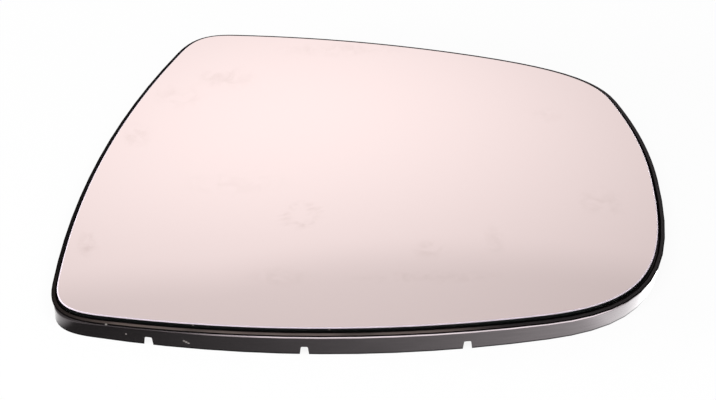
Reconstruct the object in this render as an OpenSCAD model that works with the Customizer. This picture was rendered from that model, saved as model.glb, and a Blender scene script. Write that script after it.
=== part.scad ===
// Door mirror glass on its moulded backing plate.
// The part lies face up: +Z leaves the glass, and the skirt's rear edge lies at Z = 0.
// X = 0, Y = 0 is the middle of the outline. The narrow side, at -X, is the one by the door.

/* [Glass] */
// Width of the glass across its widest points
glass_w = 181; // [120:0.5:240]
// Height of the glass across its highest points
glass_h = 130; // [90:0.5:180]
// Thickness of the glass
glass_t = 2; // [1.6:0.1:3]
// Radius that the glass is bent to, for its wide view
glass_r = 2000; // [1400:50:4000]
// Width of the ground arris along the front edge of the glass
arris = 0.3; // [0.1:0.05:0.5]
// How far the glass sits towards the door from the middle of its lip
glass_shift = 0.2; // [0:0.05:0.2]
// Height of the crown of the glass over the skirt's rear edge
part_depth = 11.3; // [10:0.1:20]

/* [Outline] */
// Lower corner by the door, as shares of width and height from the middle
corner_low_in = [-0.505, -0.45]; // [-0.6:0.005:0.6]
// Upper corner by the door, as shares of width and height
corner_top_in = [-0.295, 0.53]; // [-0.6:0.005:0.6]
// Upper corner away from the door, as shares of width and height
corner_top_out = [0.415, 0.365]; // [-0.6:0.005:0.6]
// Lower corner away from the door, as shares of width and height
corner_low_out = [0.445, -0.435]; // [-0.6:0.005:0.6]
// How far the side by the door bows out
bow_in = 9; // [2:0.5:14]
// How far the top bows out
bow_top = 4; // [1:0.5:10]
// How far the side away from the door bows out
bow_out = 14; // [6:0.5:18]
// How far the bottom bows out
bow_bottom = 10.5; // [4:0.5:14]
// Lengths of the lower inner bend, before and after its corner
bend_low_in = [14, 11.5]; // [8:0.5:24]
// Lengths of the upper inner bend, before and after its corner
bend_top_in = [10, 11.5]; // [6:0.5:20]
// Lengths of the upper outer bend, before and after its corner
bend_top_out = [46, 12]; // [10:0.5:50]
// Lengths of the lower outer bend, before and after its corner
bend_low_out = [55, 25.5]; // [20:0.5:60]
// How full the bends are: low is a flat cut corner, high a pointed one
bend_fullness = 0.75; // [0.55:0.05:0.85]

/* [Lip] */
// Clearance between the edge of the glass and the lip round it
lip_gap = 0.35; // [0.3:0.05:0.8]
// Width of the lip
lip_w = 1.7; // [1.5:0.05:3]
// Depth of the lip's crest below the face of the glass
lip_low = 1.4; // [0.8:0.05:1.5]
// Width and height of the lead-in slope that guides the glass into the lip
lip_lead = 0.5; // [0.3:0.05:0.6]
// Radius between the lead-in slope and the crest
lead_r = 0.3; // [0.1:0.05:0.4]
// Radius of the lip's outer edge
lip_edge_r = 0.35; // [0.2:0.05:0.5]
// Height of the lip's outer face below its edge radius
lip_face_h = 0.05; // [0.05:0.05:0.3]

/* [Skirt] */
// How far the skirt's face lies inside the lip's outer face
skirt_inset = 0.85; // [0.5:0.05:1]
// Depth of the skirt's shoulder below the face of the glass
skirt_top = 2.8; // [2.6:0.05:3.4]
// Radius of the skirt's shoulder
shoulder_r = 0.8; // [0.4:0.05:1]
// Thickness of the skirt's wall
skirt_t = 1.5; // [1.2:0.1:2.5]
// How far the skirt flares out from its shoulder to its rear edge
skirt_flare = 0.05; // [0:0.05:0.3]
// Depth of the groove between the lip and the skirt
groove_d = 0.25; // [0.1:0.05:0.3]
// Height of the groove's wall above the shoulder
groove_h = 0.45; // [0.2:0.05:0.45]
// How much shorter the skirt's bends are, for the corners in turn from the lower inner one
bend_cut = [3, 2, 1, 1]; // [0:0.5:3]
// Width of a drain notch at its closed end
notch_w = 2.1; // [1.5:0.1:5]
// How much wider a drain notch is at the rear edge
notch_flare = 0.6; // [0:0.1:2]
// Height of a drain notch
notch_h = 3.1; // [1.5:0.1:3.6]
// Radius of the corners at a drain notch's closed end
notch_r = 0.4; // [0.1:0.1:0.7]
// Places of the drain notches across the part
notch_at = [-63, -17, 31]; // [-70:1:60]

/* [Plate and pad] */
// Thickness of the backing plate
plate_t = 2; // [1.5:0.1:2.5]
// Thickness of the double-sided foam pad
pad_t = 0.5; // [0.3:0.1:0.6]
// How far the pad stays inside the edge of the glass
pad_inset = 1.5; // [0.5:0.5:8]
// Thickness of a rib
rib_t = 1.4; // [1:0.1:2]
// Height of a rib below the plate
rib_h = 2.4; // [1:0.1:3]

/* [Clip ring] */
// Place of the clip ring across the part
ring_x = 0; // [-15:1:15]
// Place of the clip ring up the part
ring_y = -4; // [-15:1:15]
// Inside radius of the clip ring
ring_r = 27; // [18:0.5:32]
// Thickness of the clip ring's wall
ring_t = 2; // [1.6:0.1:3]
// Height of the clip ring's free edge over the skirt's rear edge
ring_rise = 0.6; // [0.3:0.1:1.5]
// Number of sprung claws round the ring
claw_count = 6; // [3:1:8]
// Length of a claw round the ring, in degrees
claw_angle = 22; // [20:1:26]
// How far a claw reaches into the ring
claw_reach = 0.7; // [0.4:0.1:1.2]
// Height of a claw's hook
claw_h = 2; // [1.6:0.1:2.4]
// Height of the round land at the tip of a claw's hook
claw_land = 0.8; // [0.5:0.1:1.2]
// Width of the slots that free a claw
slot_w = 1.2; // [0.8:0.1:2]
// Height of the slots that free a claw
slot_h = 3.6; // [3:0.1:4.5]

/* [Hidden] */
side_steps = 12;
bend_steps = 12;
lap = 0.5;
past = 1;

corner_share = [corner_low_in, corner_top_in, corner_top_out, corner_low_out];
bow = [bow_in, bow_top, bow_out, bow_bottom];
bend = [bend_low_in, bend_top_in, bend_top_out, bend_low_out];
corner = [for (c = corner_share) [c.x * glass_w, c.y * glass_h]];

pad_drop = glass_t;
plate_drop = pad_drop + pad_t;
under_drop = plate_drop + plate_t;
lip_out = lip_gap + lip_w;
skirt_out = lip_out - skirt_inset;

// Vectors in the plane
function unit(v) = v / norm(v);
function left_of(v) = [-v.y, v.x];
function cross2(a, b) = a.x * b.y - a.y * b.x;

// Side i runs from corner i to the next, clockwise, as a shallow parabola
function next(i) = (i + 1) % 4;
function side_len(i) = norm(corner[next(i)] - corner[i]);
function side_mid(i) = (corner[i] + corner[next(i)]) / 2
    + 2 * bow[i] * unit(left_of(corner[next(i)] - corner[i]));
function side_at(i, t) = (1 - t) * (1 - t) * corner[i] + 2 * t * (1 - t) * side_mid(i)
    + t * t * corner[next(i)];
function side_dir(i, t) = unit((1 - t) * (side_mid(i) - corner[i])
    + t * (corner[next(i)] - side_mid(i)));

// Where a side starts and ends between its bends, with each bend shortened by its cut
function side_from(i, cut) = (bend[i][1] - cut[i]) / side_len(i);
function side_to(i, cut) = 1 - (bend[next(i)][0] - cut[next(i)]) / side_len(i);

// The bend after side i leaves it and meets the next side on their tangents
function tangent_meet(p, u, q, v) = p + u * cross2(q - p, v) / cross2(u, v);
function bezier(a, b, c, d, t) = pow(1 - t, 3) * a + 3 * t * pow(1 - t, 2) * b
    + 3 * t * t * (1 - t) * c + pow(t, 3) * d;
function bend_at(i, t, cut) =
    let (
        p = side_at(i, side_to(i, cut)),
        q = side_at(next(i), side_from(next(i), cut)),
        m = tangent_meet(p, side_dir(i, side_to(i, cut)), q, side_dir(next(i), side_from(next(i), cut)))
    )
    bezier(p, p + bend_fullness * (m - p), q + bend_fullness * (m - q), q, t);

function drawn_path(cut) = [
    for (i = [0:3])
        each concat(
            [for (k = [0:side_steps - 1])
                side_at(i, side_from(i, cut) + (side_to(i, cut) - side_from(i, cut)) * k / side_steps)],
            [for (k = [0:bend_steps - 1]) bend_at(i, k / bend_steps, cut)])
];

// The drawn path is centred and brought to the glass's own width and height
function low(v) = [min([for (p = v) p.x]), min([for (p = v) p.y])];
function high(v) = [max([for (p = v) p.x]), max([for (p = v) p.y])];
no_cut = [0, 0, 0, 0];
drawn = drawn_path(no_cut);
drawn_mid = (low(drawn) + high(drawn)) / 2;
drawn_size = high(drawn) - low(drawn);
function to_size(v) = [for (p = v) [
    (p.x - drawn_mid.x) * glass_w / drawn_size.x,
    (p.y - drawn_mid.y) * glass_h / drawn_size.y]];
function out_normals(v) = [for (i = [0:len(v) - 1])
    left_of(unit(v[(i + 1) % len(v)] - v[(i + len(v) - 1) % len(v)]))];

edge = to_size(drawn);
edge_out = out_normals(edge);
foot = to_size(drawn_path(bend_cut));
foot_out = out_normals(foot);
count = len(edge);

function grown(v, out, by) = [for (i = [0:len(v) - 1]) v[i] + by * out[i]];
function face_z(p) = part_depth - glass_r + sqrt(glass_r * glass_r - p.x * p.x - p.y * p.y);

// One turn round the part, so far outside the edge of the glass and below its face
function lip_turn(by, drop) = [for (p = grown(edge, edge_out, by)) [p.x, p.y, face_z(p) - drop]];
function skirt_turn(by, drop) = [for (p = grown(foot, foot_out, by)) [p.x, p.y, face_z(p) - drop]];
function foot_turn(by) = [for (p = grown(foot, foot_out, by)) [p.x, p.y, 0]];

// Joins closed turns of equal length into one ring-shaped solid. The turns go clockwise
// round its section, seen with the outside of the part on the right.
module ring_of(turns) {
    m = len(turns);
    n = len(turns[0]);
    faces = [for (j = [0:m - 1], i = [0:n - 1])
        let (
            a = j * n + i,
            b = j * n + (i + 1) % n,
            c = ((j + 1) % m) * n + (i + 1) % n,
            d = ((j + 1) % m) * n + i
        )
        each [[a, c, b], [a, d, c]]];
    polyhedron(points = [for (t = turns) each t], faces = faces, convexity = 8);
}

// A ball on the bend's centre, so far below the face of the glass, with its seam off the part
module ball(drop) {
    translate([0, 0, part_depth - glass_r])
        rotate([90, 0, 0])
            sphere(r = glass_r - drop, $fn = 256);
}

// A sheet bent to the glass, cut to an outline grown by so much
module bent_sheet(drop, thick, by, shift) {
    difference() {
        intersection() {
            translate([shift, 0, 0])
                linear_extrude(height = part_depth + past)
                    polygon(grown(edge, edge_out, by));
            ball(drop);
        }
        ball(drop + thick);
    }
}

module mirror_glass() {
    color("lavenderblush")
        difference() {
            bent_sheet(0, glass_t, 0, -glass_shift);
            translate([-glass_shift, 0, 0])
                ring_of([
                    lip_turn(-arris - lap, -lap),
                    lip_turn(lap, -lap),
                    lip_turn(lap, arris + lap)]);
        }
}

module adhesive_pad() {
    color("dimgray")
        bent_sheet(pad_drop, pad_t, -pad_inset, -glass_shift);
}

// Points of an arc in the section, from its centre, by angles above the outward direction
function arc(centre, r, from, to, steps) = [for (k = [0:steps])
    let (a = from + (to - from) * k / steps)
    centre + r * [cos(a), -sin(a)]];

lead_steps = 2;
edge_steps = 4;
shoulder_steps = 4;
shoulder_angle = 50;
lead_angle = 45;
lead_top = [lip_gap + lip_lead + lead_r * tan(lead_angle / 2), lip_low + lead_r];
lip_round = [lip_out - lip_edge_r, lip_low + lip_edge_r];
lip_bottom = lip_round.y + lip_face_h;
lip_chamfer = lip_edge_r / 3;
groove_out = skirt_out - groove_d;

// Section of the lip, from the foot of its inner wall over the lead-in slope and the crest to the groove
lip_section = concat(
    [[lip_gap, plate_drop + lap], [lip_gap, lip_low + lip_lead]],
    arc(lead_top, lead_r, 90 + lead_angle, 90, lead_steps),
    arc(lip_round, lip_edge_r, 90, 0, edge_steps),
    [[lip_out, lip_bottom],
     [lip_out - lip_chamfer, lip_bottom + lip_chamfer],
     [groove_out, skirt_top - groove_h]]);

// Section of the shoulder, from the groove to the skirt's face
shoulder_round = [skirt_out - shoulder_r, skirt_top + shoulder_r];
shoulder_section = arc(shoulder_round, shoulder_r, shoulder_angle, 0, shoulder_steps);

module rim() {
    ring_of(concat(
        [for (s = lip_section) lip_turn(s.x, s.y)],
        [for (s = shoulder_section) skirt_turn(s.x, s.y)],
        [foot_turn(skirt_out + skirt_flare),
         foot_turn(skirt_out + skirt_flare - skirt_t),
         skirt_turn(skirt_out - skirt_t, under_drop + lap),
         skirt_turn(skirt_out - skirt_t - lap, under_drop - lap)]));
}

// Half of a notch's outline, from the rear edge up and round the corner of its closed end
function notch_side() = concat(
    [[notch_w / 2 + notch_flare / 2, -past], [notch_w / 2 + notch_flare / 2, 0]],
    [for (a = [0:30:90]) [notch_w / 2, notch_h] + notch_r * [cos(a) - 1, sin(a) - 1]]);
function mirrored(v) = [for (i = [len(v) - 1:-1:0]) [-v[i].x, v[i].y]];

// The cut starts outside the lowest point of the skirt and passes the wall wherever the notch is
notch_reach = bow_bottom + skirt_out + skirt_t;

module drain_notches() {
    wall_y = low(foot).y - skirt_out - past;
    for (x = notch_at)
        translate([x, wall_y, 0])
            rotate([90, 0, 180])
                linear_extrude(height = 2 * past + notch_reach)
                    polygon(concat(notch_side(), mirrored(notch_side())));
}

// Ribs that cross at the ring, bent to the underside and ending in the skirt's wall
module ribs() {
    difference() {
        intersection() {
            union() {
                translate([ring_x - rib_t / 2, -glass_h, 0])
                    cube([rib_t, 2 * glass_h, part_depth]);
                translate([-glass_w, ring_y - rib_t / 2, 0])
                    cube([2 * glass_w, rib_t, part_depth]);
            }
            linear_extrude(height = part_depth)
                polygon(grown(edge, edge_out, 0));
            ball(under_drop - lap);
        }
        ball(under_drop + rib_h);
        translate([ring_x, ring_y, -past])
            cylinder(r = ring_r + ring_t / 2, h = part_depth + 2 * past, $fn = 128);
    }
}

ring_top = part_depth - under_drop + lap / 2;

module clip_ring() {
    translate([ring_x, ring_y, 0]) {
        difference() {
            translate([0, 0, ring_rise])
                cylinder(r = ring_r + ring_t, h = ring_top - ring_rise, $fn = 128);
            translate([0, 0, -past])
                cylinder(r = ring_r, h = ring_top + 2 * past, $fn = 128);
            for (k = [0:claw_count - 1], side = [-1, 1])
                rotate([0, 0, (k + 0.5) * 360 / claw_count + side * (claw_angle / 2)])
                    translate([ring_r - past, side > 0 ? 0 : -slot_w, -past])
                        cube([ring_t + 2 * past, slot_w, slot_h + ring_rise + past]);
        }
        for (k = [0:claw_count - 1])
            rotate([0, 0, (k + 0.5) * 360 / claw_count - claw_angle / 2])
                rotate_extrude(angle = claw_angle, $fn = 128)
                    polygon([
                        [ring_r + lap, ring_rise],
                        [ring_r, ring_rise],
                        [ring_r - claw_reach, ring_rise + (claw_h - claw_land) / 2],
                        [ring_r - claw_reach, ring_rise + (claw_h + claw_land) / 2],
                        [ring_r, ring_rise + claw_h],
                        [ring_r + lap, ring_rise + claw_h]]);
    }
}

module backing_plate() {
    color([0.13, 0.12, 0.12])
        difference() {
            union() {
                rim();
                bent_sheet(plate_drop, plate_t, (lip_gap + groove_out) / 2, 0);
                ribs();
                clip_ring();
            }
            drain_notches();
        }
}

mirror_glass();
adhesive_pad();
backing_plate();
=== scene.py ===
"""The looks of a car door mirror glass on its backing plate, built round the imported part, and its studio."""

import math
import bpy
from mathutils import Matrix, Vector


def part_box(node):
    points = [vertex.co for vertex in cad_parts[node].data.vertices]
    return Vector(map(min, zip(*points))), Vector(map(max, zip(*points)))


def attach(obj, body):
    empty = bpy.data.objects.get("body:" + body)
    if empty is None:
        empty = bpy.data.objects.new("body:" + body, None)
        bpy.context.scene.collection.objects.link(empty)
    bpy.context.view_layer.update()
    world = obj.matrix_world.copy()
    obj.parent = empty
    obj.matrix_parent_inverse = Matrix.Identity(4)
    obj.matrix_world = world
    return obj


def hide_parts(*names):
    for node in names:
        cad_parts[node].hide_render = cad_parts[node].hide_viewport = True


bl_info = {
    "name": "Door Mirror Glass",
    "version": (1, 0, 0),
    "blender": (4, 5, 0),
    "location": "3D View > Sidebar > Mirror",
    "description": "Dresses a door mirror glass, its foam pad and its backing plate, and sets the studio",
    "category": "Object",
}

import bpy
import numpy as np
from bpy.props import FloatProperty, FloatVectorProperty, PointerProperty
from mathutils import Vector

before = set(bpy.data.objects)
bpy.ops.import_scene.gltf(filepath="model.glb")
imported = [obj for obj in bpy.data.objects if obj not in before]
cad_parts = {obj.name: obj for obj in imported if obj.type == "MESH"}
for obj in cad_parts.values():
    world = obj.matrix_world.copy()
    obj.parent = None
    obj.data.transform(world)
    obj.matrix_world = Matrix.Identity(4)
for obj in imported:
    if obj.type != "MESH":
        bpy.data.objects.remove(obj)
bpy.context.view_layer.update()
MM = 0.001

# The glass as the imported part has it, in metres
GLASS_LOW, GLASS_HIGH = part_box("mirror_glass")

# The outline, as the part's source draws it: corners as shares of width and height, clockwise from the
# lower one by the door, the bow of each side, and the lengths of each bend before and after its corner
CORNER_SHARES = ((-0.505, -0.45), (-0.295, 0.53), (0.415, 0.365), (0.445, -0.435))
SIDE_BOWS = (9 * MM, 4 * MM, 14 * MM, 10.5 * MM)
BEND_LENGTHS = ((14 * MM, 11.5 * MM), (10 * MM, 11.5 * MM), (46 * MM, 12 * MM), (55 * MM, 25.5 * MM))
BEND_FULLNESS = 0.75
SIDE_STEPS = 24
BEND_STEPS = 24
FACE_RINGS = 40

# From which angle an edge stays sharp in the shading, on the glass and on the plate, and how near to each
# other points of the plate's facets are when they merge
GLASS_SHARP_ANGLE = math.radians(30)
PLATE_SHARP_ANGLE = math.radians(35)
MERGE_DISTANCE = 0.002 * MM

# Finger marks on the glass: place across and up, reach across and up, and how strong they are
SMEARS = (
    (-44 * MM, 43.5 * MM, 11 * MM, 6 * MM, 0.75),
    (-59 * MM, 34.5 * MM, 9 * MM, 5 * MM, 0.6),
    (-71 * MM, 17 * MM, 5 * MM, 6 * MM, 0.8),
    (-40 * MM, -6 * MM, 20 * MM, 5 * MM, 0.3),
    (-83 * MM, -30 * MM, 3 * MM, 6 * MM, 1.2),
    (20.5 * MM, -34 * MM, 5 * MM, 4 * MM, 0.9),
    (40 * MM, -30 * MM, 3.5 * MM, 8 * MM, 0.4),
    (19 * MM, -45 * MM, 25 * MM, 2.2 * MM, 0.7),
    (-24 * MM, -45 * MM, 10 * MM, 4.5 * MM, 0.5),
    (73.5 * MM, -13 * MM, 8 * MM, 6 * MM, 0.7),
    (-6 * MM, 57 * MM, 24 * MM, 4 * MM, 0.5),
    (57 * MM, 26 * MM, 8 * MM, 4 * MM, 0.4),
)
# One mark is a ring, as the rim of a suction cup leaves
CUP_MARK = (-18.5 * MM, -19.5 * MM)
CUP_RADIUS = 4.5 * MM
CUP_WIDTH = 1.6 * MM

# The grease of the marks: between which levels of its noise a streak forms, how much of the mirror's colour
# it leaves, and how rough the mirror is where it is clean and where it is greasy
STREAK_LEVELS = (0.35, 0.7)
GREASE_LEAVES = (0.9, 0.89, 0.88)
MIRROR_ROUGHNESS = (0.02, 0.12)
GLASS_IOR = 1.52

# Where the moulding's finish changes, each pair from where it starts to where it is full: how far below
# the crown the skirt turns into the lip, how far up the lip's crest faces, and where that crest takes a
# painted highlight
LIP_ENDS = (2.7 * MM, 2.4 * MM)
CREST_FACES_UP = (0.95, 0.99)
HIGHLIGHT_BELOW = (-35 * MM, -50 * MM)
HIGHLIGHT_LEFT = (-98 * MM, -68 * MM)
HIGHLIGHT_RIGHT = (45 * MM, 18 * MM)
# Between which levels of the waviness the crest's painted highlight forms patches, and how strong it is there
PATCH_LEVELS = (0.35, 0.6)
PATCH_HIGHLIGHT = (0.55, 1.0)

# How glossy and how rough it is: the crest of the lip is duller on the side by the door, which leans, a flank
# of the lip is glossy where it faces up the part, and the skirt has a dull foot and fine lines in its polish
DOOR_SIDE_LEAN = 0.3
DULL_BESIDE = (-62 * MM, -32 * MM)
CREST_GLOSS = (0.05, 0.3)
GLOSSY_FLANK = (0.4, 0.8)
DULL_FOOT = (0.35 * MM, 0.65 * MM)
FOOT_GLOSS = 0.1
SKIRT_GLOSS = 0.5
POLISH_LEVELS = (0.3, 0.7)
POLISH_GLOSS = (0.93, 1.07)
SKIRT_ROUGHNESS = 0.2
LIP_ROUGHNESS = 0.35
# Those lines, in millimetres, and how deep the mould's grain is beside its waviness
LINE_LENGTH = 8
LINE_SPACING = 0.5
GRAIN_DEPTH = 0.1

# Dust that lies on the moulding: place and reach
DUST = (
    ((-75.2 * MM, -61.1 * MM, 7.3 * MM), 0.5 * MM),
    ((-69.6 * MM, -61.3 * MM, 3.4 * MM), 0.4 * MM),
    ((-52.4 * MM, -63.7 * MM, 3.0 * MM), 0.5 * MM),
    ((-51.8 * MM, -63.8 * MM, 2.6 * MM), 0.6 * MM),
    ((-51.1 * MM, -63.8 * MM, 2.2 * MM), 0.5 * MM),
)
# And on the edge of the glass
EDGE_DUST = (
    ((-49.5 * MM, -62.8 * MM, 9.0 * MM), 0.35 * MM),
    ((-9.6 * MM, -65.0 * MM, 9.5 * MM), 0.35 * MM),
)
# A speck covers this much, out to this share of its reach
DUST_COVER = 0.7
DUST_CORE = 0.25

# The settings of a map range that eases in and out
EASED = {"interpolation_type": "SMOOTHSTEP"}


def linear(hex_colour):
    """The linear colour of an sRGB hex value."""
    shares = [int(hex_colour[i : i + 2], 16) / 255 for i in (1, 3, 5)]
    return tuple(s / 12.92 if s <= 0.04045 else ((s + 0.055) / 1.055) ** 2.4 for s in shares)


def per_mm(size):
    """The scale of a pattern whose features are so many millimetres across."""
    return 1 / (size * MM)


class MirrorGlassSettings(bpy.types.PropertyGroup):
    """Sizes and colours of the glass."""

    bend_radius: FloatProperty(
        name="Bend radius",
        description="Radius that the glass is bent to",
        default=2000 * MM,
        unit="LENGTH",
    )
    thickness: FloatProperty(
        name="Thickness",
        description="Thickness of the glass",
        default=2 * MM,
        unit="LENGTH",
    )
    arris: FloatProperty(
        name="Arris",
        description="Width of the ground arris round the face",
        default=0.3 * MM,
        unit="LENGTH",
    )
    silver_tint: FloatVectorProperty(
        name="Silver",
        description="Tint of the chromed face",
        subtype="COLOR",
        default=linear("#FFEBE9"),
        min=0,
        max=1,
    )
    arris_tint: FloatVectorProperty(
        name="Arris colour",
        description="Colour of the ground glass",
        subtype="COLOR",
        default=linear("#C6BAC4"),
        min=0,
        max=1,
    )


class BackingPlateSettings(bpy.types.PropertyGroup):
    """Colours of the backing plate, the pad and the dust."""

    plastic_colour: FloatVectorProperty(
        name="Plastic",
        description="Colour of the moulded plastic",
        subtype="COLOR",
        default=linear("#0B0909"),
        min=0,
        max=1,
    )
    # A painted highlight: the pale colour painted on the lip's crest along its lower side
    crest_highlight_colour: FloatVectorProperty(
        name="Crest highlight",
        description="Colour of the plastic where the lip's crest is rubbed",
        subtype="COLOR",
        default=linear("#584E4A"),
        min=0,
        max=1,
    )
    dust_colour: FloatVectorProperty(
        name="Dust",
        description="Colour of the dust specks",
        subtype="COLOR",
        default=linear("#A39C98"),
        min=0,
        max=1,
    )
    foam_colour: FloatVectorProperty(
        name="Foam",
        description="Colour of the foam pad",
        subtype="COLOR",
        default=linear("#2B2B2D"),
        min=0,
        max=1,
    )


class StudioSettings(bpy.types.PropertyGroup):
    """Where the camera stands, and how bright the studio is."""

    camera_distance: FloatProperty(
        name="Camera distance",
        description="From the camera to what it looks at",
        default=750 * MM,
        unit="LENGTH",
    )
    camera_height: FloatProperty(
        name="Camera height",
        description="Angle of the camera above the horizon",
        default=math.radians(45),
        subtype="ANGLE",
    )
    fill_level: FloatProperty(
        name="Fill level",
        description="Brightness of the light from all round",
        default=0.35,
        min=0,
    )


def unit(vector):
    return vector / np.hypot(*vector)


def left_of(vector):
    return np.array([-vector[1], vector[0]])


def glass_outline(width, height):
    """The edge of the glass, clockwise, centred and brought to its width and height."""
    corners = np.array(CORNER_SHARES) * (width, height)
    following = np.roll(corners, -1, 0)

    def middle(i):
        chord = following[i] - corners[i]
        return (corners[i] + following[i]) / 2 + 2 * SIDE_BOWS[i] * unit(left_of(chord))

    def side_at(i, t):
        return (1 - t) ** 2 * corners[i] + 2 * t * (1 - t) * middle(i) + t * t * following[i]

    def side_direction(i, t):
        return unit((1 - t) * (middle(i) - corners[i]) + t * (following[i] - middle(i)))

    points = []
    for i in range(4):
        after = (i + 1) % 4
        lengths = [np.hypot(*(following[k] - corners[k])) for k in (i, after)]
        start = BEND_LENGTHS[i][1] / lengths[0]
        stop = 1 - BEND_LENGTHS[after][0] / lengths[0]
        points += [side_at(i, start + (stop - start) * k / SIDE_STEPS) for k in range(SIDE_STEPS)]
        leave, join = side_at(i, stop), side_at(after, BEND_LENGTHS[after][1] / lengths[1])
        u, v = side_direction(i, stop), side_direction(after, BEND_LENGTHS[after][1] / lengths[1])
        gap = join - leave
        meet = leave + u * (gap[0] * v[1] - gap[1] * v[0]) / (u[0] * v[1] - u[1] * v[0])
        pull, push = leave + BEND_FULLNESS * (meet - leave), join + BEND_FULLNESS * (meet - join)
        for t in (k / BEND_STEPS for k in range(BEND_STEPS)):
            s = 1 - t
            points.append(s**3 * leave + 3 * t * s * s * pull + 3 * t * t * s * push + t**3 * join)
    drawn = np.array(points)
    low, high = drawn.min(0), drawn.max(0)
    return (drawn - (low + high) / 2) * (width, height) / (high - low)


def outward(path):
    """The direction away from the part at each point of a clockwise path."""
    along = np.roll(path, -1, 0) - np.roll(path, 1, 0)
    along /= np.hypot(along[:, 0], along[:, 1])[:, None]
    return np.stack([-along[:, 1], along[:, 0]], 1)


def add_node(tree, kind, fill=(), **settings):
    """Adds a node, sets its properties, and fills its inputs, in order or by name, with values or links.

    A node given where a link is meant stands for its first output.
    """
    node = tree.nodes.new(kind)
    for name, value in settings.items():
        setattr(node, name, value)
    for name, value in fill.items() if isinstance(fill, dict) else enumerate(fill):
        if isinstance(value, bpy.types.Node):
            value = next(socket for socket in value.outputs if socket.enabled)
        if isinstance(value, bpy.types.NodeSocket):
            tree.links.new(value, node.inputs[name])
        else:
            node.inputs[name].default_value = value
    return node


def new_material(name):
    """An empty node material and its node tree."""
    material = bpy.data.materials.new(name)
    material.use_nodes = True
    material.node_tree.nodes.clear()
    return material, material.node_tree


def opaque(colour):
    return (*colour, 1)


def faded(tree, whole, edges):
    """A value that stays whole where every edge is full, and eases to nothing where one of them starts."""
    for value, edge in edges:
        kept = add_node(tree, "ShaderNodeMapRange", (value, *edge), **EASED)
        whole = add_node(tree, "ShaderNodeMath", (whole, kept), operation="MULTIPLY")
    return whole


def dusted(tree, place, colour, dust_colour, specks):
    """A colour with specks of dust over it, each at its place and with its reach."""
    cover = 0.0
    for spot, reach in specks:
        off = add_node(tree, "ShaderNodeVectorMath", (place, spot), operation="DISTANCE")
        near = add_node(tree, "ShaderNodeMapRange", (off, reach, reach * DUST_CORE, 0, DUST_COVER), **EASED)
        cover = add_node(tree, "ShaderNodeMath", (near, cover), operation="MAXIMUM")
    return add_node(
        tree, "ShaderNodeMix", {"Factor": cover, "A": colour, "B": opaque(dust_colour)}, data_type="RGBA"
    )


def chromed_float_glass(settings):
    """Float glass, hot-bent and chromed: a clean mirror, warm and slightly pink, with a few finger marks."""
    material, tree = new_material("Chromed float glass")
    place = add_node(tree, "ShaderNodeTexCoord").outputs["Object"]
    smear = add_node(tree, "ShaderNodeAttribute", attribute_name="smear").outputs["Fac"]
    # Skin grease lies in soft streaks about 2.5 mm wide
    streaks = add_node(
        tree, "ShaderNodeTexNoise", {"Vector": place, "Scale": per_mm(5), "Detail": 3, "Distortion": 0.6}
    )
    grease = faded(tree, smear, [(streaks, STREAK_LEVELS)])
    greasy = tuple(c * s for c, s in zip(settings.silver_tint, GREASE_LEAVES))
    tint = add_node(
        tree,
        "ShaderNodeMix",
        {"Factor": grease, "A": opaque(settings.silver_tint), "B": opaque(greasy)},
        data_type="RGBA",
    )
    rough = add_node(tree, "ShaderNodeMapRange", (grease, 0, 1, *MIRROR_ROUGHNESS))
    surface = add_node(
        tree, "ShaderNodeBsdfPrincipled", {"Base Color": tint, "Metallic": 1, "Roughness": rough}
    )
    add_node(tree, "ShaderNodeOutputMaterial", {"Surface": surface})
    return material


def ground_float_glass(settings):
    """Float glass, ground with a fine wheel: a thin pale frosted line round the face."""
    material, tree = new_material("Ground float glass")
    place = add_node(tree, "ShaderNodeTexCoord").outputs["Object"]
    # The wheel's grit is too fine to show, so its marks are drawn 0.4 mm long
    grit = add_node(tree, "ShaderNodeTexNoise", {"Vector": place, "Scale": per_mm(0.4), "Detail": 2})
    relief = add_node(tree, "ShaderNodeBump", {"Strength": 0.3, "Distance": 0.02 * MM, "Height": grit})
    surface = add_node(
        tree,
        "ShaderNodeBsdfPrincipled",
        {
            "Base Color": opaque(settings.arris_tint),
            "Roughness": 0.45,
            "IOR": GLASS_IOR,
            "Specular IOR Level": 0.1,
            "Normal": relief,
        },
    )
    add_node(tree, "ShaderNodeOutputMaterial", {"Surface": surface})
    return material


def cut_float_glass(dust_colour):
    """Float glass, scored and broken, over dark lacquer: an edge that looks black, with a slight gloss."""
    material, tree = new_material("Cut float glass")
    place = add_node(tree, "ShaderNodeTexCoord").outputs["Object"]
    # The cut leaves ripples about 1 mm apart down the edge
    ripples = add_node(tree, "ShaderNodeTexNoise", {"Vector": place, "Scale": per_mm(1), "Detail": 3})
    depth = add_node(
        tree,
        "ShaderNodeMix",
        {"Factor": ripples, "A": opaque(linear("#08090A")), "B": opaque(linear("#121413"))},
        data_type="RGBA",
    )
    surface = add_node(
        tree,
        "ShaderNodeBsdfPrincipled",
        {
            "Base Color": dusted(tree, place, depth, dust_colour, EDGE_DUST),
            "Roughness": 0.3,
            "IOR": GLASS_IOR,
            "Specular IOR Level": 0.15,
        },
    )
    add_node(tree, "ShaderNodeOutputMaterial", {"Surface": surface})
    return material


def sprayed_lacquer():
    """Mirror backing lacquer, sprayed: matt dark grey on the rear face."""
    material, tree = new_material("Sprayed lacquer")
    place = add_node(tree, "ShaderNodeTexCoord").outputs["Object"]
    # Spray droplets dry about 0.5 mm across
    droplets = add_node(tree, "ShaderNodeTexNoise", {"Vector": place, "Scale": per_mm(0.5), "Detail": 2})
    relief = add_node(tree, "ShaderNodeBump", {"Strength": 0.2, "Distance": 0.02 * MM, "Height": droplets})
    surface = add_node(
        tree,
        "ShaderNodeBsdfPrincipled",
        {"Base Color": opaque(linear("#3B3D40")), "Roughness": 0.6, "Normal": relief},
    )
    add_node(tree, "ShaderNodeOutputMaterial", {"Surface": surface})
    return material


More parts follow.
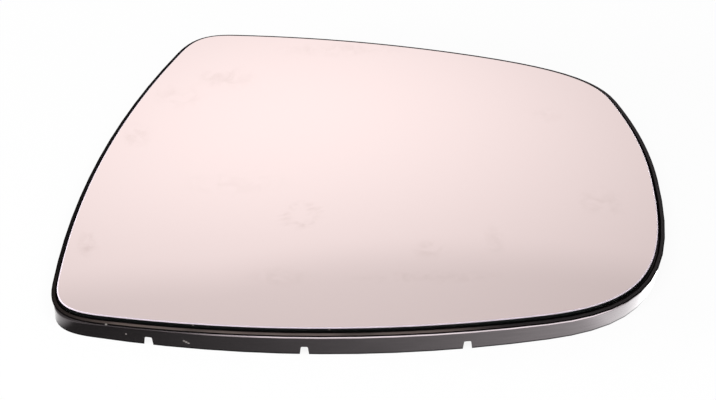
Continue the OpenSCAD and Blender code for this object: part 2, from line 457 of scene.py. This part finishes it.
def moulded_abs(settings, bend_radius):
    """ABS, injection moulded: near black, fine-grained on the lip and polished on the skirt, with a painted
    highlight along the lip's crest.
    """
    material, tree = new_material("Moulded ABS")
    coordinates = add_node(tree, "ShaderNodeTexCoord")
    place = coordinates.outputs["Object"]
    x, y, z = add_node(tree, "ShaderNodeSeparateXYZ", {"Vector": place}).outputs
    facing = add_node(tree, "ShaderNodeSeparateXYZ", {"Vector": coordinates.outputs["Normal"]}).outputs
    # How far a point lies below the curved face of the glass tells the lip from the skirt
    flat = add_node(tree, "ShaderNodeVectorMath", (place, (1, 1, 0)), operation="MULTIPLY")
    squared = add_node(tree, "ShaderNodeVectorMath", (flat, flat), operation="DOT_PRODUCT")
    lifted = add_node(tree, "ShaderNodeMath", (squared, 1 / (2 * bend_radius), z), operation="MULTIPLY_ADD")
    lip_heights = [GLASS_HIGH.z - depth for depth in LIP_ENDS]
    lip = add_node(tree, "ShaderNodeMapRange", (lifted, *lip_heights), **EASED)
    crest = faded(tree, lip, [(facing["Z"], CREST_FACES_UP)])
    # Flow in the mould leaves a slow waviness, about 12 mm from crest to crest
    flow = add_node(tree, "ShaderNodeTexNoise", {"Vector": place, "Scale": per_mm(12), "Detail": 2})
    # A painted highlight: the lip's crest is painted pale along the lower side, in patches
    highlit = faded(tree, crest, [(y, HIGHLIGHT_BELOW), (x, HIGHLIGHT_LEFT), (x, HIGHLIGHT_RIGHT)])
    patches = add_node(tree, "ShaderNodeMapRange", (flow, *PATCH_LEVELS, *PATCH_HIGHLIGHT), **EASED)
    crest_highlight = add_node(tree, "ShaderNodeMath", (highlit, patches), operation="MULTIPLY")
    colour = add_node(
        tree,
        "ShaderNodeMix",
        {"Factor": crest_highlight, "A": opaque(settings.plastic_colour), "B": opaque(settings.crest_highlight_colour)},
        data_type="RGBA",
    )
    # The polish of the skirt runs round it in fine lines, about 0.5 mm apart and 8 mm long
    squeeze = (1, 1, LINE_LENGTH / LINE_SPACING)
    squeezed = add_node(tree, "ShaderNodeVectorMath", (place, squeeze), operation="MULTIPLY")
    lines = add_node(
        tree, "ShaderNodeTexNoise", {"Vector": squeezed, "Scale": per_mm(LINE_LENGTH), "Detail": 2}
    )
    polish = add_node(tree, "ShaderNodeMapRange", (lines, *POLISH_LEVELS, *POLISH_GLOSS), **EASED)
    foot = add_node(tree, "ShaderNodeMapRange", (z, *DULL_FOOT, FOOT_GLOSS, SKIRT_GLOSS), **EASED)
    skirt_gloss = add_node(tree, "ShaderNodeMath", (foot, polish), operation="MULTIPLY")
    # The crest of the lip takes a little gloss, and the more so away from the door. Its flanks keep the matt
    # skin of the mould, but for those that face up the part.
    inward = add_node(tree, "ShaderNodeMath", (y, -DOOR_SIDE_LEAN, x), operation="MULTIPLY_ADD")
    crest_gloss = add_node(tree, "ShaderNodeMapRange", (inward, *DULL_BESIDE, *CREST_GLOSS), **EASED)
    flank_gloss = faded(tree, SKIRT_GLOSS, [(facing["Y"], GLOSSY_FLANK)])
    lip_gloss = add_node(
        tree, "ShaderNodeMath", (crest, crest_gloss, flank_gloss), operation="MULTIPLY_ADD"
    )
    gloss = add_node(
        tree, "ShaderNodeMix", {"Factor": lip, "A": skirt_gloss, "B": lip_gloss}, data_type="FLOAT"
    )
    rough = add_node(tree, "ShaderNodeMapRange", (lip, 0, 1, SKIRT_ROUGHNESS, LIP_ROUGHNESS), **EASED)
    # The mould's spark-eroded grain is about 0.3 mm, and a tenth as deep as the waviness
    grain = add_node(tree, "ShaderNodeTexNoise", {"Vector": place, "Scale": per_mm(0.3), "Detail": 3})
    height = add_node(tree, "ShaderNodeMath", (grain, GRAIN_DEPTH, flow), operation="MULTIPLY_ADD")
    relief = add_node(tree, "ShaderNodeBump", {"Strength": 0.15, "Distance": 0.05 * MM, "Height": height})
    surface = add_node(
        tree,
        "ShaderNodeBsdfPrincipled",
        {
            "Base Color": dusted(tree, place, colour, settings.dust_colour, DUST),
            "Roughness": rough,
            "IOR": 1.53,
            "Specular IOR Level": gloss,
            "Specular Tint": opaque(linear("#FFEFF5")),
            "Normal": relief,
        },
    )
    add_node(tree, "ShaderNodeOutputMaterial", {"Surface": surface})
    return material


def closed_cell_foam(settings):
    """Polyethylene foam, extruded with closed cells: dull dark grey with fine pores."""
    material, tree = new_material("Closed-cell foam")
    place = add_node(tree, "ShaderNodeTexCoord").outputs["Object"]
    # The cells are about 0.4 mm across
    cells = add_node(tree, "ShaderNodeTexVoronoi", {"Vector": place, "Scale": per_mm(0.4)})
    relief = add_node(tree, "ShaderNodeBump", {"Strength": 0.4, "Distance": 0.05 * MM, "Height": cells})
    surface = add_node(
        tree,
        "ShaderNodeBsdfPrincipled",
        {"Base Color": opaque(settings.foam_colour), "Roughness": 0.9, "Normal": relief},
    )
    add_node(tree, "ShaderNodeOutputMaterial", {"Surface": surface})
    return material


def smear_at(x, y):
    """How much grease lies on the glass at a place, from 0 to 1."""
    most = 0.0
    for cx, cy, reach_x, reach_y, strength in SMEARS:
        share = math.hypot((x - cx) / reach_x, (y - cy) / reach_y)
        most = max(most, strength * (1 - share * share))
    off_ring = abs(math.hypot(x - CUP_MARK[0], y - CUP_MARK[1]) - CUP_RADIUS) / CUP_WIDTH
    return max(most, 1 - off_ring)


def glass_mesh(settings):
    """The bent glass as a closed mesh: face, ground arris, cut edge and rear face."""
    centre_x = (GLASS_LOW.x + GLASS_HIGH.x) / 2
    crown = GLASS_HIGH.z
    edge = glass_outline(GLASS_HIGH.x - GLASS_LOW.x, GLASS_HIGH.y - GLASS_LOW.y)
    out = outward(edge)
    inner = edge - settings.arris * out
    around = len(edge)
    shift = np.array([centre_x, 0])

    def sheet_z(points):
        return crown - settings.bend_radius + np.sqrt(settings.bend_radius**2 - (points**2).sum(1))

    turns = [(inner * k / FACE_RINGS, 0) for k in range(1, FACE_RINGS + 1)]
    turns += [(edge, settings.arris), (edge, settings.thickness)]
    turns += [(edge * k / FACE_RINGS, settings.thickness) for k in range(FACE_RINGS - 1, 0, -1)]
    vertices = [(centre_x, 0, crown)]
    for points, drop in turns:
        z = sheet_z(points) - drop
        vertices += [(*(p + shift), h) for p, h in zip(points, z)]
    vertices.append((centre_x, 0, crown - settings.thickness))
    last = len(vertices) - 1
    faces = [(0, 1 + (i + 1) % around, 1 + i) for i in range(around)]
    for j in range(len(turns) - 1):
        a, b = 1 + j * around, 1 + (j + 1) * around
        faces += [(a + i, a + (i + 1) % around, b + (i + 1) % around, b + i) for i in range(around)]
    a = last - around
    faces += [(a + i, a + (i + 1) % around, last) for i in range(around)]
    mesh = bpy.data.meshes.new("mirror_glass_face")
    mesh.from_pydata(vertices, [], faces)
    slots = [0] * around * FACE_RINGS + [1] * around + [2] * around + [3] * around * FACE_RINGS
    mesh.polygons.foreach_set("material_index", slots)
    mesh.polygons.foreach_set("use_smooth", [True] * len(faces))
    smear = mesh.attributes.new("smear", "FLOAT", "POINT")
    smear.data.foreach_set("value", [smear_at(x, y) for x, y, z in vertices])
    mesh.update()
    mesh.set_sharp_from_angle(angle=GLASS_SHARP_ANGLE)
    return mesh


def smooth_by_angle(node_object):
    """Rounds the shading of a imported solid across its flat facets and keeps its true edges."""
    tree = bpy.data.node_groups.new("Smooth facets", "GeometryNodeTree")
    tree.interface.new_socket("Geometry", in_out="INPUT", socket_type="NodeSocketGeometry")
    tree.interface.new_socket("Geometry", in_out="OUTPUT", socket_type="NodeSocketGeometry")
    start = add_node(tree, "NodeGroupInput")
    merged = add_node(
        tree, "GeometryNodeMergeByDistance", {"Geometry": start, "Distance": MERGE_DISTANCE}
    )
    faces = add_node(
        tree, "GeometryNodeSetShadeSmooth", {"Geometry": merged, "Shade Smooth": True}, domain="FACE"
    )
    edges = add_node(
        tree, "GeometryNodeSetShadeSmooth", {"Geometry": faces, "Shade Smooth": True}, domain="EDGE"
    )
    angle = add_node(tree, "GeometryNodeInputMeshEdgeAngle").outputs["Unsigned Angle"]
    steep = add_node(
        tree,
        "FunctionNodeCompare",
        (angle, PLATE_SHARP_ANGLE),
        data_type="FLOAT",
        operation="GREATER_THAN",
    )
    sharp = add_node(
        tree,
        "GeometryNodeSetShadeSmooth",
        {"Geometry": edges, "Selection": steep, "Shade Smooth": False},
        domain="EDGE",
    )
    add_node(tree, "NodeGroupOutput", {"Geometry": sharp})
    smooth = node_object.modifiers.new("Smooth facets", "NODES")
    smooth.node_group = tree
    weighted = node_object.modifiers.new("Face weights", "WEIGHTED_NORMAL")
    weighted.keep_sharp = True
    weighted.mode = "FACE_AREA"


class OBJECT_OT_mirror_glass(bpy.types.Operator):
    """Makes the chromed glass in place of its plain solid"""

    bl_idname = "object.mirror_glass"
    bl_label = "Mirror Glass"

    def execute(self, context):
        settings = context.scene.mirror_glass
        glass = bpy.data.objects.new("mirror_glass_face", glass_mesh(settings))
        context.scene.collection.objects.link(glass)
        for material in (
            chromed_float_glass(settings),
            ground_float_glass(settings),
            cut_float_glass(context.scene.mirror_backing.dust_colour),
            sprayed_lacquer(),
        ):
            glass.data.materials.append(material)
        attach(glass, "root")
        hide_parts("mirror_glass")
        return {"FINISHED"}


class OBJECT_OT_mirror_backing_plate(bpy.types.Operator):
    """Gives the backing plate its moulded plastic"""

    bl_idname = "object.mirror_backing_plate"
    bl_label = "Backing Plate"

    def execute(self, context):
        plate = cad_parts["backing_plate"]
        smooth_by_angle(plate)
        plastic = moulded_abs(context.scene.mirror_backing, context.scene.mirror_glass.bend_radius)
        plate.data.materials.clear()
        plate.data.materials.append(plastic)
        return {"FINISHED"}


class OBJECT_OT_mirror_foam_pad(bpy.types.Operator):
    """Gives the pad behind the glass its foam"""

    bl_idname = "object.mirror_foam_pad"
    bl_label = "Foam Pad"

    def execute(self, context):
        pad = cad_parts["adhesive_pad"]
        pad.data.materials.clear()
        pad.data.materials.append(closed_cell_foam(context.scene.mirror_backing))
        return {"FINISHED"}


# What the glass mirrors: a wide soft light on the wall behind, and a ceiling that starts at a soft line and
# grows a little lighter further up. The line leans, and drops at its left end. Directions are in shares of a
# unit vector: across, and up.
WALL_LIGHT = (-0.049, 0.660)
WALL_LIGHT_REACH = (0.300, 0.147)
WALL_LIGHT_TILT = 0.017
WALL_LEVEL = 0.435
WALL_LIGHT_LEVEL = 0.596
CEILING_LINE = 0.736
CEILING_BLUR = 0.026
CEILING_TILT = 0.066
CEILING_DROP = -0.09
CEILING_DROP_SLOPE = 0.16
CEILING_DARKER = 0.111
CEILING_FURTHER = (0.757, 0.803)
CEILING_LIGHTER = 0.065
ROOM_LEVEL = 0.85
ROOM_BEHIND = (0.2, 0.6)

# What the gloss of the plastic mirrors: a softbox in front, each pair from where it starts to where it is
# full, in shares of a unit vector
SOFTBOX_NEAR = (-0.35, -0.6)
SOFTBOX_LOW = (-0.3, 0.0)
SOFTBOX_HIGH = (0.9, 0.8)
SOFTBOX_LEFT = (-0.25, -0.13)
SOFTBOX_LEVEL = 20.0
# And the board's painted light, which only gloss sees: it glows brighter by e over so far to the right, less a
# painted shade, and up to a most. It has more of it past both ends of the part and in front.
BOARD_LIGHT = 1.4
BOARD_LIGHT_REACH = 58 * MM
BOARD_SHADE = 0.22
BOARD_LIGHT_MOST = 7.0
BOARD_RIGHT = (66 * MM, 78 * MM)
BOARD_LIGHT_RIGHT = 2.6
BOARD_LEFT = (-88 * MM, -93 * MM)
BOARD_LIGHT_LEFT = 1.8
BOARD_FRONT = (-78 * MM, -86 * MM)
BOARD_FRONT_STARTS = (-62 * MM, -48 * MM)
BOARD_LIGHT_FRONT = 12.0
# How much of the board is plain white where it is seen
BOARD_WHITE = 0.9
FLOOR_SIDE = 8.0

# The lamps: place, width and height, power, and whether gloss mirrors them. The low ones at both ends light
# the ground arris.
LAMPS = (
    ("overhead_strip", (0.0, -0.35, 0.9), (1.2, 0.15), 6.3, True),
    ("door_side_lamp", (-0.9, -0.1, 0.1), (0.3, 0.1), 12.0, False),
    ("far_side_lamp", (0.9, -0.1, 0.1), (0.3, 0.1), 3.0, False),
)

# What the camera looks at, from the middle of the part's foot
LOOK_AT = Vector((-1.25 * MM, -10.77 * MM, 8.7 * MM))
SENSOR_WIDTH = 36.0
IMAGE_WIDTH = 716
PIXELS_PER_METRE = 3250


def painted_board():
    """Painted board, matt white: seen as plain white, with some real light left in it for the shadow, and a
    painted glow in gloss.
    """
    material, tree = new_material("Painted board")
    path = add_node(tree, "ShaderNodeLightPath").outputs
    place = add_node(tree, "ShaderNodeTexCoord").outputs["Object"]
    parts = add_node(tree, "ShaderNodeSeparateXYZ", {"Vector": place}).outputs
    x, y = parts["X"], parts["Y"]
    # Painted light: in the gloss of the skirt the board glows ever brighter to the right, as a low lamp there
    # would light it
    steps = add_node(tree, "ShaderNodeMath", (x, BOARD_LIGHT_REACH), operation="DIVIDE")
    growth = add_node(tree, "ShaderNodeMath", (steps,), operation="EXPONENT")
    spread = add_node(tree, "ShaderNodeMath", (growth, BOARD_LIGHT, -BOARD_SHADE), operation="MULTIPLY_ADD")
    right = faded(tree, BOARD_LIGHT_RIGHT, [(x, BOARD_RIGHT)])
    # Past the part's left end, and well in front of it, more painted light glows on the board; in front it
    # makes the painted highlight along the skirt's shoulder
    left = faded(tree, BOARD_LIGHT_LEFT, [(x, BOARD_LEFT)])
    front = faded(tree, BOARD_LIGHT_FRONT, [(y, BOARD_FRONT), (x, BOARD_FRONT_STARTS)])
    ends = add_node(tree, "ShaderNodeMath", (left, right), operation="ADD")
    sides = add_node(tree, "ShaderNodeMath", (spread, ends), operation="ADD")
    sides = add_node(tree, "ShaderNodeMath", (sides, BOARD_LIGHT_MOST), operation="MINIMUM")
    light = add_node(tree, "ShaderNodeMath", (front, sides), operation="ADD")
    level = add_node(
        tree, "ShaderNodeMix", {"Factor": path["Is Glossy Ray"], "A": 1.0, "B": light}, data_type="FLOAT"
    )
    seen = add_node(tree, "ShaderNodeMath", (path["Is Camera Ray"], path["Is Glossy Ray"]), operation="ADD")
    seen = add_node(
        tree, "ShaderNodeMath", (seen, path["Is Transmission Ray"]), operation="ADD", use_clamp=True
    )
    share = add_node(tree, "ShaderNodeMath", (seen, BOARD_WHITE), operation="MULTIPLY")
    paint = add_node(tree, "ShaderNodeBsdfDiffuse", {"Color": opaque(linear("#F4F4F4"))})
    white = add_node(tree, "ShaderNodeEmission", {"Color": opaque((1, 1, 1)), "Strength": level})
    mixed = add_node(tree, "ShaderNodeMixShader", (share, paint, white))
    add_node(tree, "ShaderNodeOutputMaterial", {"Surface": mixed})
    return material


def studio_world(fill_level):
    """A white room: plain white to the camera, its own soft light to gloss and glass, and an even fill."""
    world = bpy.data.worlds.new("White studio")
    world.use_nodes = True
    tree = world.node_tree
    tree.nodes.clear()
    way = add_node(tree, "ShaderNodeTexCoord").outputs["Generated"]
    x, y, z = add_node(tree, "ShaderNodeSeparateXYZ", {"Vector": way}).outputs
    # The light on the wall behind falls off evenly from its middle
    across = add_node(tree, "ShaderNodeMath", (x, WALL_LIGHT[0]), operation="SUBTRACT")
    rise = add_node(tree, "ShaderNodeMath", (across, WALL_LIGHT_TILT, z), operation="MULTIPLY_ADD")
    above = add_node(tree, "ShaderNodeMath", (rise, WALL_LIGHT[1]), operation="SUBTRACT")
    u = add_node(tree, "ShaderNodeMath", (across, WALL_LIGHT_REACH[0]), operation="DIVIDE")
    v = add_node(tree, "ShaderNodeMath", (above, WALL_LIGHT_REACH[1]), operation="DIVIDE")
    spot = add_node(tree, "ShaderNodeCombineXYZ", (u, v))
    off = add_node(tree, "ShaderNodeVectorMath", (spot, spot), operation="DOT_PRODUCT")
    minus = add_node(tree, "ShaderNodeMath", (off, -1), operation="MULTIPLY")
    glow = add_node(tree, "ShaderNodeMath", (minus,), operation="EXPONENT")
    wall = add_node(tree, "ShaderNodeMath", (glow, WALL_LIGHT_LEVEL, WALL_LEVEL), operation="MULTIPLY_ADD")
    # The ceiling's line leans, and drops at its left end
    past_drop = add_node(tree, "ShaderNodeMath", (CEILING_DROP, x), operation="SUBTRACT")
    past_drop = add_node(tree, "ShaderNodeMath", (past_drop, 0), operation="MAXIMUM")
    dropped = add_node(tree, "ShaderNodeMath", (past_drop, CEILING_DROP_SLOPE, z), operation="MULTIPLY_ADD")
    line = add_node(tree, "ShaderNodeMath", (x, CEILING_TILT, dropped), operation="MULTIPLY_ADD")
    blur_ends = (CEILING_LINE, CEILING_LINE + CEILING_BLUR)
    darker = add_node(tree, "ShaderNodeMapRange", (line, *blur_ends, 1, 1 - CEILING_DARKER), **EASED)
    lighter = add_node(tree, "ShaderNodeMapRange", (line, *CEILING_FURTHER, 1, 1 + CEILING_LIGHTER), **EASED)
    ceiling = add_node(tree, "ShaderNodeMath", (darker, lighter), operation="MULTIPLY")
    back = add_node(tree, "ShaderNodeMath", (wall, ceiling), operation="MULTIPLY")
    # Away from the wall behind, the room is even but for the softbox
    softbox = faded(tree, 1.0, [(z, SOFTBOX_LOW), (z, SOFTBOX_HIGH), (y, SOFTBOX_NEAR), (x, SOFTBOX_LEFT)])
    front = add_node(
        tree, "ShaderNodeMix", {"Factor": softbox, "A": ROOM_LEVEL, "B": SOFTBOX_LEVEL}, data_type="FLOAT"
    )
    behind = add_node(tree, "ShaderNodeMapRange", (y, *ROOM_BEHIND), **EASED)
    mirrored = add_node(tree, "ShaderNodeMix", {"Factor": behind, "A": front, "B": back}, data_type="FLOAT")
    path = add_node(tree, "ShaderNodeLightPath").outputs
    lit = add_node(
        tree,
        "ShaderNodeMix",
        {"Factor": path["Is Glossy Ray"], "A": fill_level, "B": mirrored},
        data_type="FLOAT",
    )
    plain = add_node(
        tree,
        "ShaderNodeMath",
        (path["Is Camera Ray"], path["Is Transmission Ray"]),
        operation="ADD",
        use_clamp=True,
    )
    level = add_node(tree, "ShaderNodeMix", {"Factor": plain, "A": lit, "B": 1.0}, data_type="FLOAT")
    background = add_node(tree, "ShaderNodeBackground", {"Color": opaque((1, 1, 1)), "Strength": level})
    add_node(tree, "ShaderNodeOutputWorld", {"Surface": background})
    return world


def add_lamp(name, place, size, power, in_gloss):
    """An area lamp that faces the part. Size is its width and its height in metres."""
    data = bpy.data.lights.new(name, "AREA")
    data.shape = "RECTANGLE"
    data.size, data.size_y = size
    data.energy = power
    lamp = bpy.data.objects.new(name, data)
    lamp.location = place
    lamp.rotation_euler = (Vector() - Vector(place)).to_track_quat("-Z", "Y").to_euler()
    lamp.visible_glossy = in_gloss
    bpy.context.scene.collection.objects.link(lamp)


class SCENE_OT_mirror_studio(bpy.types.Operator):
    """Sets the floor, the lamps, the world and the camera"""

    bl_idname = "scene.mirror_studio"
    bl_label = "Studio"

    def execute(self, context):
        settings = context.scene.mirror_studio
        half = FLOOR_SIDE / 2
        corners = [(-half, -half, 0), (half, -half, 0), (half, half, 0), (-half, half, 0)]
        mesh = bpy.data.meshes.new("studio_floor")
        mesh.from_pydata(corners, [], [(0, 1, 2, 3)])
        mesh.materials.append(painted_board())
        floor = bpy.data.objects.new("studio_floor", mesh)
        context.scene.collection.objects.link(floor)
        for lamp in LAMPS:
            add_lamp(*lamp)
        context.scene.world = studio_world(settings.fill_level)
        camera = bpy.data.objects.new("camera", bpy.data.cameras.new("camera"))
        camera.data.sensor_width = SENSOR_WIDTH
        camera.data.lens = SENSOR_WIDTH * PIXELS_PER_METRE * settings.camera_distance / IMAGE_WIDTH
        back = Vector((0, -math.cos(settings.camera_height), math.sin(settings.camera_height)))
        camera.location = LOOK_AT + settings.camera_distance * back
        camera.rotation_euler = (-back).to_track_quat("-Z", "Y").to_euler()
        context.scene.collection.objects.link(camera)
        context.scene.camera = camera
        context.scene.view_settings.view_transform = "Standard"
        return {"FINISHED"}


class VIEW3D_PT_door_mirror(bpy.types.Panel):
    """Lists the pieces of the mirror glass and their settings"""

    bl_label = "Door Mirror Glass"
    bl_space_type = "VIEW_3D"
    bl_region_type = "UI"
    bl_category = "Mirror"

    def draw(self, context):
        scene = context.scene
        for settings in (scene.mirror_glass, scene.mirror_backing, scene.mirror_studio):
            box = self.layout.box()
            for name in settings.bl_rna.properties.keys():
                if name not in ("rna_type", "name"):
                    box.prop(settings, name)
        for operator in OPERATORS:
            self.layout.operator(operator.bl_idname)


SETTINGS = {
    "mirror_glass": MirrorGlassSettings,
    "mirror_backing": BackingPlateSettings,
    "mirror_studio": StudioSettings,
}
OPERATORS = (
    OBJECT_OT_mirror_glass,
    OBJECT_OT_mirror_backing_plate,
    OBJECT_OT_mirror_foam_pad,
    SCENE_OT_mirror_studio,
)


def register():
    for cls in (*SETTINGS.values(), *OPERATORS, VIEW3D_PT_door_mirror):
        bpy.utils.register_class(cls)
    for name, cls in SETTINGS.items():
        setattr(bpy.types.Scene, name, PointerProperty(type=cls))


def unregister():
    for name in SETTINGS:
        delattr(bpy.types.Scene, name)
    for cls in (VIEW3D_PT_door_mirror, *reversed(OPERATORS), *reversed(SETTINGS.values())):
        bpy.utils.unregister_class(cls)


def main():
    register()
    bpy.ops.object.mirror_glass()
    bpy.ops.object.mirror_backing_plate()
    bpy.ops.object.mirror_foam_pad()
    bpy.ops.scene.mirror_studio()


if __name__ == "__main__":
    main()
